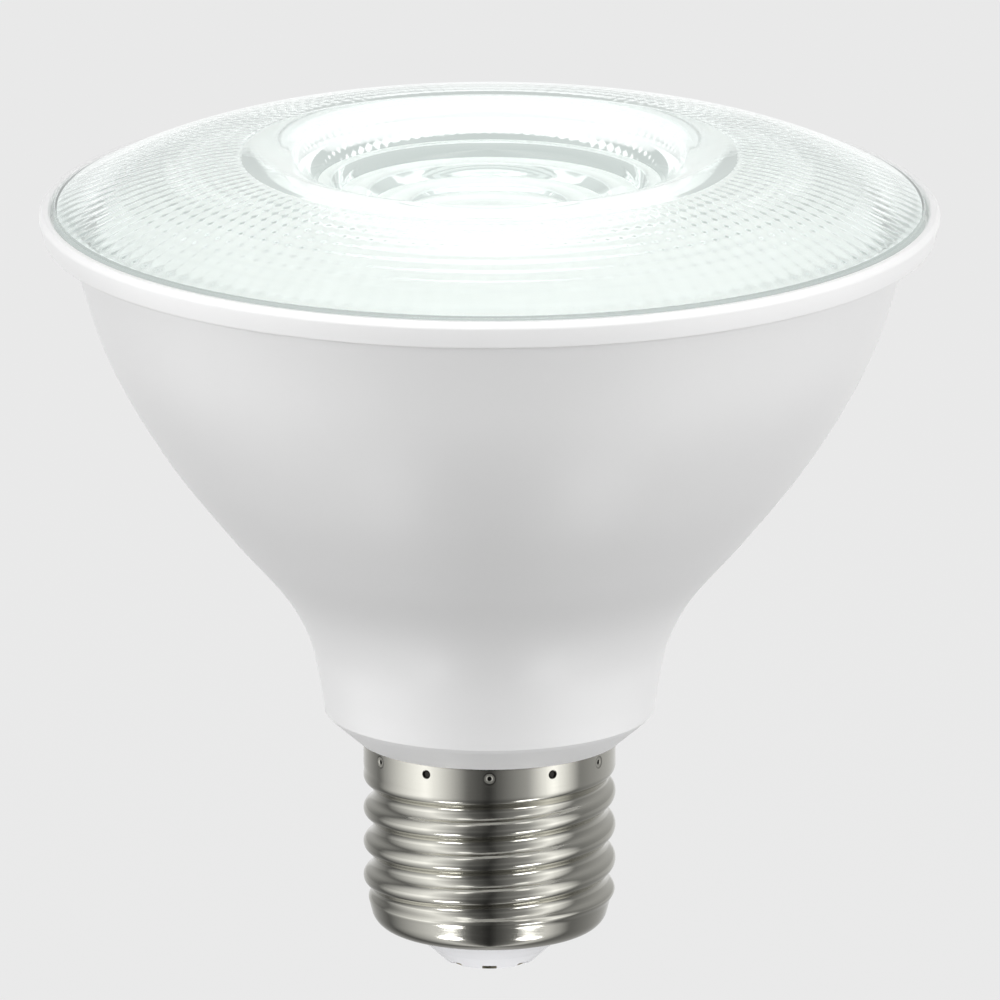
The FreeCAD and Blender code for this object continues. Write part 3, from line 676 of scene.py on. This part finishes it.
@dataclass
class FrontLens:
    """Clear front lens: dome, sunken beaded dish and a grid of pillows inside.

    bead_share is a bead's rise against its run, and bead_run its longest straight run.
    """

    clear: bpy.types.Material
    ribs: int = 132
    ring_pitch: float = 1.6
    pillow_inner: float = 25.6
    pillow_outer: float = 41.6
    pillow_depth: float = 0.10
    thickness: float = 2.4
    edge: Point = (45.4, 79.9)
    seat_radius: float = 44.6
    edge_rounding: float = 0.3
    dome_end: Point = (45.1, 81.85)
    shoulder: Point = (36.0, 85.8)
    crown: Point = (25.0, 87.9)
    lip: Point = (22.9, 87.80)
    dish_rim: Point = (21.2, 87.3)
    dish_steps: tuple[Point, ...] = (
        (19.6, 86.1), (17.9, 84.3), (15.6, 83.0), (12.2, 81.9), (8.4, 81.1))
    dish_floor: float = 4.0
    bead_share: float = 0.11
    bead_run: float = 0.4
    hollow: Point = (10.8, 78.7)
    hollow_floor: float = 5.0
    divisions: int = 4
    slack: float = 0.01

    def outer(self) -> list[Point]:
        """Outer side of the half section, from the axis to the lens's edge.

        Returns:
            The points.
        """
        floor = self.dish_steps[-1][1]
        points = [(0.0, floor), (self.dish_floor, floor)]
        steps = list(reversed((self.dish_rim,) + self.dish_steps))
        for low, high in zip(steps, steps[1:]):
            run = math.dist(low, high)
            middle = ((low[0] + high[0]) / 2 - self.bead_share * (high[1] - low[1]),
                      (low[1] + high[1]) / 2 + self.bead_share * (high[0] - low[0]))
            points += arc_through(low, middle, high, max(4, round(run / self.bead_run)))[:-1]
        points += arc_through(self.dish_rim, self.lip, self.crown, 8)[:-1]
        points += arc_through(self.crown, self.shoulder, self.dome_end, 26)
        end_radius, end_height = self.dome_end
        return points + arc((end_radius, end_height - self.edge_rounding), self.edge_rounding,
                            75.0, 0.0, 4)

    def inner(self) -> list[Point]:
        """Inner side of the half section, from the lens's seat back to the axis.

        Returns:
            The points, four to each pillow where the pillows lie.
        """
        dome = arc_through(self.crown, self.shoulder, self.dome_end, 400)
        points = [self.edge, (self.seat_radius, self.edge[1])]
        rings = round((self.pillow_outer - self.pillow_inner) / self.ring_pitch)
        for index in range(rings * self.divisions + 1):
            r = self.pillow_outer - index * self.ring_pitch / self.divisions
            z = min(dome, key=lambda point: abs(point[0] - r))[1] - self.thickness
            points.append((r, z))
        depth = self.hollow[1]
        return points + [self.hollow, (self.hollow_floor, depth), (0.0, depth)]

    def pillow(self, vert: bmesh.types.BMVert) -> None:
        """Sinks one vertex of the inside by its place in its pillow.

        Args:
            vert: the vertex, moved in place.
        """
        radius = math.hypot(vert.co.x, vert.co.y) / MM
        across = math.atan2(vert.co.y, vert.co.x) / FULL_TURN * self.ribs
        along = (self.pillow_outer - radius) / self.ring_pitch
        u = 2.0 * (across - math.floor(across)) - 1.0
        v = 2.0 * (along - math.floor(along)) - 1.0
        rise = (1.0 - u * u) * 0.5 + (1.0 - v * v) * 0.5
        fade = ease((radius - self.pillow_inner) / self.ring_pitch)
        vert.co.z -= self.pillow_depth * rise * fade * MM

    def build(self) -> None:
        """Builds the lens and presses the pillows into its inner side."""
        outer, inner = self.outer(), self.inner()
        shape = turned(outer + inner, self.ribs * self.divisions)
        outside = height_along(outer)
        for vert in shape.verts:
            radius = math.hypot(vert.co.x, vert.co.y) / MM
            under = vert.co.z / MM < outside(radius) - self.thickness / 2
            if under and (self.pillow_inner - self.slack < radius
                          < self.pillow_outer + self.slack):
                self.pillow(vert)
        settle("front_lens", shape, self.clear, ["lens"], crease=50.0)


def height_along(outline: Outline) -> Callable[[float], float]:
    """Height of an outline that runs outward, as a function of the radius.

    Args:
        outline: (r, z) points with growing r.

    Returns:
        A function from radius to height.
    """
    def height(radius: float) -> float:
        """Reads the height off the straight runs between the points.

        Args:
            radius: where to read it.

        Returns:
            The height, or the last point's beyond the outline.
        """
        for (low_r, low_z), (high_r, high_z) in zip(outline, outline[1:]):
            if low_r <= radius <= high_r and high_r > low_r:
                return low_z + (high_z - low_z) * (radius - low_r) / (high_r - low_r)
        return outline[-1][1]

    return height


@dataclass
class ScrewCap:
    """Nickel-plated shell with its rolled thread, crimped collar and rounded foot.

    top is where the thread has gone and where it starts to; foot is where the taper starts,
    and where the thread starts and is whole. A ringed mark is its rim and its pit, pressed
    in by press_shares of the depth; mark_rows and mark_columns are how far the finer mesh
    reaches, in millimetres and degrees, and its count.
    """

    nickel: bpy.types.Material
    crest_radius: float = COLLAR_RADIUS
    depth: float = 1.0
    pitch: float = 3.629
    crest_height: float = 18.7
    top: tuple[float, float] = (21.8, 19.8)
    foot: tuple[float, float, float] = (5.9, 7.1, 8.4)
    foot_radius: float = 12.32
    foot_taper: float = 14.0
    foot_bottom: float = 4.2
    foot_flange: tuple[float, float] = (9.0, 10.0)
    rows_in_pitch: int = 20
    collar_foot: float = 22.3
    cap_top: float = CAP_TOP
    top_chamfer: float = 0.05
    wall: float = 0.35
    marks: int = MARK_COUNT
    mark_height: float = MARK_HEIGHT
    ringed_mark: tuple[float, float] = (0.65, 0.35)
    plain_mark: float = 0.46
    mark_depth: float = 0.16
    press_shares: tuple[float, float] = (0.16, 0.5)
    plain_wall: float = 0.16
    ringed_wall: float = 0.12
    mark_rows: tuple[float, int] = (0.75, 20)
    mark_columns: tuple[float, int] = (3.4, 20)
    plain_columns: int = 12

    def wave(self, offset: float) -> float:
        """Thread section from 1 on the crest to 0 in the root, of equal tangent arcs.

        Args:
            offset: height from the crest.

        Returns:
            The share of the thread's depth.
        """
        reach = self.pitch / 2
        slope = math.atan2(self.depth, reach)
        knuckle = math.hypot(reach, self.depth) / 2 / (2 * math.sin(slope))
        offset = abs(offset)
        if offset < reach / 2:
            return 1.0 - (knuckle - math.sqrt(knuckle ** 2 - offset ** 2)) / self.depth
        return (knuckle - math.sqrt(knuckle ** 2 - (reach - offset) ** 2)) / self.depth

    def radius(self, turn: float, height: float) -> float:
        """Outer radius at a share of a turn and a height in the threaded stretch.

        Args:
            turn: share of a full turn, counter-clockwise from +X.
            height: height in the frame.

        Returns:
            The radius.
        """
        climb = (height - self.crest_height) / self.pitch - turn
        offset = (climb - round(climb)) * self.pitch
        fade_top = ease((self.top[0] - height) / (self.top[0] - self.top[1]))
        foot, fade_low, fade_high = self.foot
        tapered = self.foot_radius + (height - foot) * math.tan(math.radians(self.foot_taper))
        fade_foot = ease((height - fade_low) / (fade_high - fade_low))
        threaded = self.crest_radius - self.depth * (1.0 - self.wave(offset)) * fade_top
        return tapered + fade_foot * (threaded - tapered)

    def columns(self) -> list[float]:
        """Shares of a turn for the mesh's columns, closer together at the marks.

        Returns:
            The shares, from 0 up to but not including 1.
        """
        shares = []
        reach, dense = self.mark_columns
        near, sparse = reach * self.marks / 360.0, self.plain_columns
        for sector in range(self.marks):
            for index in range(dense):
                shares.append((sector + near * (2 * index / dense - 1)) / self.marks)
            for index in range(sparse):
                shares.append((sector + near + (1 - 2 * near) * index / sparse) / self.marks)
        return [share % 1.0 for share in shares]

    def rows(self) -> list[tuple[float, float, bool]]:
        """Rows of the shell from its foot's inner edge to the collar's top.

        Returns:
            (radius, height, threaded) of each row; a threaded row's radius is not used.
        """
        taper = math.radians(self.foot_taper)
        rounding = (self.foot[0] - self.foot_bottom) / (1.0 - math.sin(taper))
        bend = arc((self.foot_radius - rounding * math.cos(taper), self.foot_bottom + rounding),
                   rounding, -90.0, -self.foot_taper, 10)[:-1]
        rows = [(r, self.foot_bottom, False) for r in self.foot_flange]
        rows += [(r, z, False) for r, z in bend]
        count = round((self.top[0] - self.foot[0]) / self.pitch * self.rows_in_pitch)
        rows += [(0.0, self.foot[0] + (self.top[0] - self.foot[0]) * index / count, True)
                 for index in range(count + 1)]
        rows.append((self.crest_radius, self.collar_foot, False))
        reach, fine = self.mark_rows
        low, high = self.mark_height - reach, self.mark_height + reach
        rows += [(self.crest_radius, low + (high - low) * index / fine, False)
                 for index in range(fine + 1)]
        rows += [(self.crest_radius, self.cap_top - self.top_chamfer, False),
                 (self.crest_radius - self.top_chamfer, self.cap_top, False)]
        return rows

    def punch(self, turn: float, height: float) -> float:
        """Depth of the crimp mark at a place on the collar.

        Args:
            turn: share of a full turn.
            height: height in the frame.

        Returns:
            How far the wall is pressed in.
        """
        near = round((turn + 0.25) * self.marks) / self.marks - 0.25
        angle = (turn - near) * FULL_TURN
        away = math.hypot(angle * self.crest_radius, height - self.mark_height)
        ringed = round((near + 0.25) * self.marks) % 2 == 0
        if not ringed:
            return self.mark_depth * ease((self.plain_mark - away) / self.plain_wall)
        rim, pit = self.ringed_mark
        rim_share, pit_share = self.press_shares
        return self.mark_depth * (rim_share * ease((rim - away) / self.ringed_wall)
                                  + pit_share * ease((pit - away) / self.ringed_wall))

    def build(self) -> None:
        """Builds the shell: its outer skin by rows and columns, then a wall inward."""
        rows, columns = self.rows(), sorted(self.columns())
        shape = bmesh.new()
        bmesh.ops.create_grid(shape, x_segments=len(columns), y_segments=len(rows) - 1, size=1.0)
        for vert in shape.verts:
            column = round((vert.co.x + 1.0) / 2.0 * len(columns))
            row = round((vert.co.y + 1.0) / 2.0 * (len(rows) - 1))
            turn = columns[column % len(columns)]
            radius, height, threaded = rows[row]
            if threaded:
                radius = self.radius(turn, height)
            else:
                radius -= self.punch(turn, height)
            angle = turn * FULL_TURN
            vert.co = Vector((radius * math.cos(angle), radius * math.sin(angle), height)) * MM
        close(shape)
        piece = settle("cap_rolled_shell", shape, self.nickel, ["cap_shell"],
                       crease=60.0)
        wall = piece.modifiers.new("wall", "SOLIDIFY")
        wall.thickness = self.wall * MM
        wall.offset = -1.0


def ease(value: float) -> float:
    """Smooth step from 0 to 1.

    Args:
        value: place on the step; below 0 gives 0, above 1 gives 1.

    Returns:
        The step's height.
    """
    value = min(max(value, 0.0), 1.0)
    return value * value * (3.0 - 2.0 * value)


@dataclass
class Optics:
    """Reflector, lamp board, light chips and the pressed cup that cools them.

    lean and foot_wall are shares of the reflector's wall.
    """

    wall: float = 1.2
    outside: tuple[Point, Point, Point] = ((19.86, 59.5), (30.3, 68.5), (39.9, 78.2))
    lean: tuple[float, float] = (0.85, 0.55)
    foot_wall: float = 1.3
    steps: int = 128

    def build(self) -> None:
        """Builds the reflector and dresses the rest."""
        foot, _, mouth = self.outside
        outside = arc_through(*self.outside, 24)
        in_share, up_share = self.lean
        inside = [(r - in_share * self.wall, z + up_share * self.wall) for r, z in outside]
        inside[0] = (outside[0][0] - self.foot_wall * self.wall, foot[1])
        inside[-1] = (outside[-1][0] - self.wall, mouth[1])
        shape = turned(outside + list(reversed(inside)), self.steps)
        settle("reflector_cup", shape, REFLECTOR_WHITE.build(), ["reflector"])
        dress(WHITE_MASK.build(), "lamp_board")
        dress(LIT_PHOSPHOR.build(), "lamp_chips")
        dress(PRESSED_ALUMINIUM.build(), "heat_sink")
        dress(ZINC_STEEL.build(), "board_screws")


@dataclass
class Driver:
    """Finishes of the driver board and of everything soldered to it."""

    def build(self) -> None:
        """Dresses the driver's nodes."""
        dress(GREEN_MASK.build(), "driver_board")
        dress(DARK_SLEEVE.build(), "input_capacitor", "output_capacitor")
        dress(FERRITE.build(), "transformer_core", "filter_inductor")
        dress(AMBER_TAPE.build(), "transformer_winding")
        dress(BROWN_MOULDING.build(), "film_capacitor")
        dress(BLACK_EPOXY.build(), "bridge_rectifier", "driver_chip", "chip_resistors")
        dress(BLUE_DIP.build(), "varistor")
        dress(GREEN_DIP.build(), "fuse_resistor")
        dress(RED_INSULATION.build(), "output_lead_positive")
        dress(BLACK_INSULATION.build(), "output_lead_negative")
        dress(TINNED_BRASS.build(), "side_contact_lead", "centre_contact_lead", "centre_contact")
        dress(GLAZED_GREY.build(), "cap_insulator")


@dataclass(frozen=True)
class Lamp:
    """One soft lamp, which either lights the body or is mirrored by polished metal.

    Its bearing from the camera's side and its rise are in degrees, its size and reach in
    metres and its power in watts.
    """

    bearing: float
    rise: float
    size: tuple[float, float]
    reach: float
    power: float
    mirrored: bool = False


# Each of these hangs on both sides.
LAMP_PAIRS = {
    "softbox": Lamp(92.0, -8.0, (0.22, 0.16), 0.3, 0.50),
    "brow_lamp": Lamp(22.0, 12.0, (0.26, 0.20), 0.6, 0.84),
    "crown_lamp": Lamp(28.0, 60.0, (0.26, 0.22), 0.6, 0.5),
    "high_lamp": Lamp(37.0, 52.0, (0.12, 0.20), 0.6, 0.06, mirrored=True),
    "low_lamp": Lamp(44.0, -45.0, (0.042, 0.024), 0.12, 0.0142, mirrored=True),
}
FOOT_LAMP = Lamp(0.0, -60.0, (0.02, 0.02), 0.035, 0.0044)


@dataclass
class Studio:
    """Pale floor, soft lamps and the camera at the photograph's angle.

    surround is the brightness that metal mirrors, by bearing from the camera's side;
    lamp_targets are the heights that lamps above and below the bulb face.
    """

    pale: str = "#EAEAEA"
    floor_drop: float = 0.10
    floor_size: float = 6.0
    distance: float = 4.2
    elevation: float = 15.0
    aim: tuple[float, float] = (1.095, 50.07)
    frame_width: float = 104.33
    sensor: float = 36.0
    floor_bounce: float = 0.13
    floor_paint: float = 0.05
    floor_glow: float = 0.782
    floor_mirrored: tuple[float, float] = (0.5, 1.0)
    floor_reach: tuple[float, float] = (0.15, 0.40)
    soft_levels: tuple[float, float] = (0.57, 0.85)
    soft_span: tuple[float, float] = (-1.0, 0.3)
    lamp_targets: tuple[float, float] = (0.045, 0.008)
    surround_peak: float = 1.9
    surround: tuple[tuple[float, float], ...] = (
        (-180.0, 0.9), (-120.0, 0.2), (-60.0, 1.7), (-20.0, 0.2), (0.0, 0.05), (35.0, 0.5),
        (60.0, 1.8), (90.0, 0.3), (180.0, 0.9))

    def camera(self) -> None:
        """Places the camera and makes it the scene's."""
        tilt = math.radians(self.elevation)
        data = bpy.data.cameras.new("camera")
        data.sensor_width = self.sensor
        data.lens = self.sensor * self.distance / (self.frame_width * MM)
        data.clip_start, data.clip_end = 0.1, 50.0
        camera = bpy.data.objects.new("camera", data)
        target = Vector((self.aim[0] * MM, 0.0, self.aim[1] * MM))
        back = Vector((0.0, -math.cos(tilt), math.sin(tilt)))
        camera.location = target + back * self.distance
        camera.rotation_euler = (-back).to_track_quat("-Z", "Y").to_euler()
        bpy.context.scene.collection.objects.link(camera)
        bpy.context.scene.camera = camera

    def bands(self, tree: Tree, way: Socket) -> Socket:
        """Brightness of the surround as polished metal sees it, by bearing from the camera's side.

        The camera's side is dark, a wide soft band lies to the left, a narrower one to
        the right, and the pale background closes the circle.

        Args:
            tree: node tree to add to.
            way: direction or place, about the lamp's axis.

        Returns:
            The brightness.
        """
        split = add_node(tree, "SeparateXYZ", {"Vector": way}).outputs
        front = calculate(tree, "MULTIPLY", split["Y"], -1.0)
        bearing = calculate(tree, "ARCTAN2", split["X"], front)
        ramp = add_node(tree, "ValToRGB", {"Fac": remap(tree, bearing, -math.pi, math.pi)})
        stops = ramp.color_ramp.elements
        for index, (degrees, level) in enumerate(self.surround):
            place = (degrees + 180.0) / 360.0
            stop = stops[index] if index < 2 else stops.new(place)
            stop.position = place
            stop.color = (*[level / self.surround_peak] * 3, 1.0)
        return calculate(tree, "MULTIPLY", ramp.outputs["Color"], self.surround_peak)

    def floor(self) -> None:
        """Lays the pale floor, which keeps the bulb's shadow."""
        shape = bmesh.new()
        bmesh.ops.create_grid(shape, x_segments=1, y_segments=1, size=self.floor_size,
                              matrix=Matrix.Translation((0.0, 0.0, -self.floor_drop)))
        mesh = bpy.data.meshes.new("floor")
        shape.to_mesh(mesh)
        shape.free()
        floor = bpy.data.objects.new("floor", mesh)
        bpy.context.scene.collection.objects.link(floor)
        material = bpy.data.materials.new("painted_pale_floor")
        material.use_nodes = True
        tree = material.node_tree
        tree.nodes.clear()
        path = add_node(tree, "LightPath").outputs
        seen = seen_directly(tree, path)
        paint = add_node(tree, "Mix", {0: seen, 6: (*[self.floor_bounce] * 3, 1.0),
                                       7: (*[self.floor_paint] * 3, 1.0)}, data_type="RGBA")
        unmirrored = add_node(tree, "Mix", {0: path["Is Glossy Ray"], 6: paint.outputs[2],
                                            7: (0.0, 0.0, 0.0, 1.0)}, data_type="RGBA")
        matt = add_node(tree, "BsdfDiffuse", {"Color": unmirrored.outputs[2]})
        pale = calculate(tree, "MULTIPLY", seen, self.floor_glow)
        place = add_node(tree, "TexCoord").outputs["Object"]
        share = remap(tree, length(tree, place), *self.floor_reach, *self.floor_mirrored)
        mirrored = calculate(tree, "MULTIPLY", share, path["Is Glossy Ray"])
        banded = calculate(tree, "MULTIPLY", self.bands(tree, place), mirrored)
        glow = add_node(tree, "Emission", {"Strength": calculate(tree, "MAXIMUM", pale, banded)})
        both = add_node(tree, "AddShader", {0: matt.outputs[0], 1: glow.outputs[0]})
        add_node(tree, "OutputMaterial", {"Surface": both.outputs[0]})
        mesh.materials.append(material)

    def world(self) -> None:
        """Sets a soft surround, dim on the camera's side, and the pale background."""
        world = bpy.data.worlds.new("surround")
        bpy.context.scene.world = world
        world.use_nodes = True
        tree = world.node_tree
        tree.nodes.clear()
        way = add_node(tree, "TexCoord").outputs["Generated"]
        split = add_node(tree, "SeparateXYZ", {"Vector": way}).outputs
        soft = remap(tree, split["Y"], *self.soft_span, *self.soft_levels,
                     interpolation_type="SMOOTHSTEP")
        path = add_node(tree, "LightPath").outputs
        level = add_node(tree, "Mix", {
            0: path["Is Glossy Ray"], 2: soft, 3: self.bands(tree, way)})
        glow = add_node(tree, "Background", {"Strength": level.outputs[0]})
        pale = add_node(tree, "Background", {"Color": linear(self.pale)})
        mixed = add_node(tree, "MixShader", {
            0: seen_directly(tree, path), 1: glow.outputs[0], 2: pale.outputs[0]})
        add_node(tree, "OutputWorld", {"Surface": mixed.outputs[0]})

    def hang(self, name: str, lamp: Lamp, side: int = 1) -> None:
        """Hangs one soft lamp that faces the bulb.

        Args:
            name: the name it gets in the scene.
            lamp: the lamp.
            side: 1 for the right of the camera's side, -1 for the left.
        """
        data = bpy.data.lights.new(name, "AREA")
        data.shape = "ELLIPSE" if lamp.mirrored else "RECTANGLE"
        data.size, data.size_y = lamp.size
        data.energy = lamp.power
        light = bpy.data.objects.new(name, data)
        turn, rise = math.radians(side * lamp.bearing), math.radians(lamp.rise)
        way = Vector((math.sin(turn) * math.cos(rise), -math.cos(turn) * math.cos(rise),
                      math.sin(rise)))
        above, below = self.lamp_targets
        light.location = Vector((0.0, 0.0, above if rise > 0.0 else below)) + way * lamp.reach
        light.rotation_euler = way.to_track_quat("Z", "Y").to_euler()
        light.visible_camera = False
        light.visible_glossy = lamp.mirrored
        light.visible_diffuse = not lamp.mirrored
        bpy.context.scene.collection.objects.link(light)

    def build(self) -> None:
        """Builds the whole studio."""
        self.camera()
        self.floor()
        self.world()
        for side, word in ((-1, "left"), (1, "right")):
            for name, lamp in LAMP_PAIRS.items():
                self.hang(f"{name}_{word}", lamp, side)
        self.hang("foot_lamp", FOOT_LAMP)


def main() -> None:
    """Builds the bulb's sub-assemblies and the studio."""
    logging.basicConfig(level=logging.INFO, format="%(name)s %(message)s")
    bpy.context.scene.view_settings.view_transform = "Standard"
    white = SATIN_WHITE.build()
    Body(white).build()
    FrontLens(CLEAR_PLASTIC.build()).build()
    ScrewCap(NICKEL_PLATE.build()).build()
    Optics().build()
    Driver().build()
    Studio().build()


if __name__ == "__main__":
    main()
